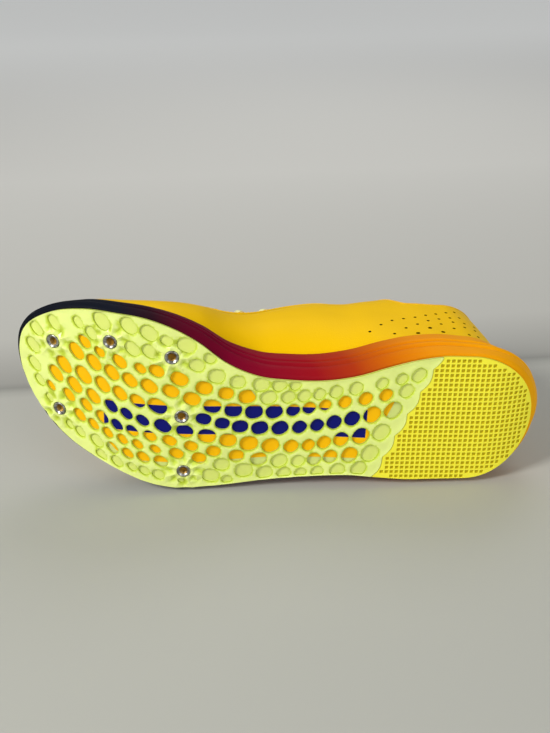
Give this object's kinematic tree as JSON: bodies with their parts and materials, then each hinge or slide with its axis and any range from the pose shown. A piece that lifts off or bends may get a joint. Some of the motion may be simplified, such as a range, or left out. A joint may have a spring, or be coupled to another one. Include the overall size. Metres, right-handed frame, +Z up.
{
  "type": "track spike shoe, right foot",
  "caption": "Right-foot distance track spike shoe, lying on its outer side, with a knit upper, stepped foam midsole, perforated spike plate, empty spike sockets and a pitted heel tread.",
  "frame": {"origin": "floor point under the middle of the box round the whole part, as it lies", "axes": "+X from the toe to the heel, +Y from the sole to the collar, +Z up from the floor, towards the shoe's inner side"},
  "size_m": [0.2874, 0.1134, 0.1089],
  "materials": {
    "foam": "matte moulded foam, black at the toe, through maroon and red to orange at the heel",
    "plate": "translucent lime moulded plastic, satin to glossy",
    "backing": "orange film, pale lime round its edge",
    "tread": "yellow rubber with a grid of small square pits",
    "knit": "thin smooth yellow synthetic leather over knit",
    "lining": "soft yellow textile",
    "lace": "pale lemon cord",
    "steel": "bright turned metal"
  },
  "bodies": {
    "root": {"upper": "knit", "tongue": "lining", "insole": "lining", "lace": "lace", "midsole": "foam", "spike_plate": "plate", "plate_backing": "backing", "heel_tread": "tread", "spike_socket_1": "steel", "spike_socket_2": "steel", "spike_socket_3": "steel", "spike_socket_4": "steel", "spike_socket_5": "steel", "spike_socket_6": "steel"}
  },
  "joints": []
}
